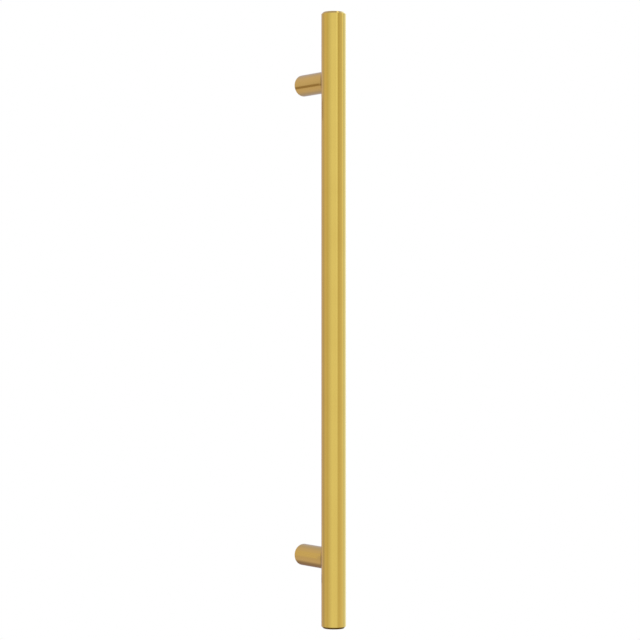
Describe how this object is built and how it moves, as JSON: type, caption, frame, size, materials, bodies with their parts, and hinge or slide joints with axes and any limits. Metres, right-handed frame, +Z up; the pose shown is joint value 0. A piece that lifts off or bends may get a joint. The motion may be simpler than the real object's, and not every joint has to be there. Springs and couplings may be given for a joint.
{
  "type": "cabinet pull",
  "caption": "Straight round-bar cabinet pull with chamfered ends, held off the door by two round posts.",
  "frame": {"origin": "on the door's face, midway between the two mounting holes", "axes": "+Z up along the bar, +Y from the bar into the door, +X to the right for someone who faces the door"},
  "size_m": [0.01, 0.028, 0.247],
  "materials": {
    "gold": "fine satin, gold colour",
    "steel": "plain zinc plate"
  },
  "bodies": {
    "root": {"bar": "gold", "post_upper": "gold", "post_lower": "gold", "stud_upper": "steel", "stud_lower": "steel"}
  },
  "joints": []
}
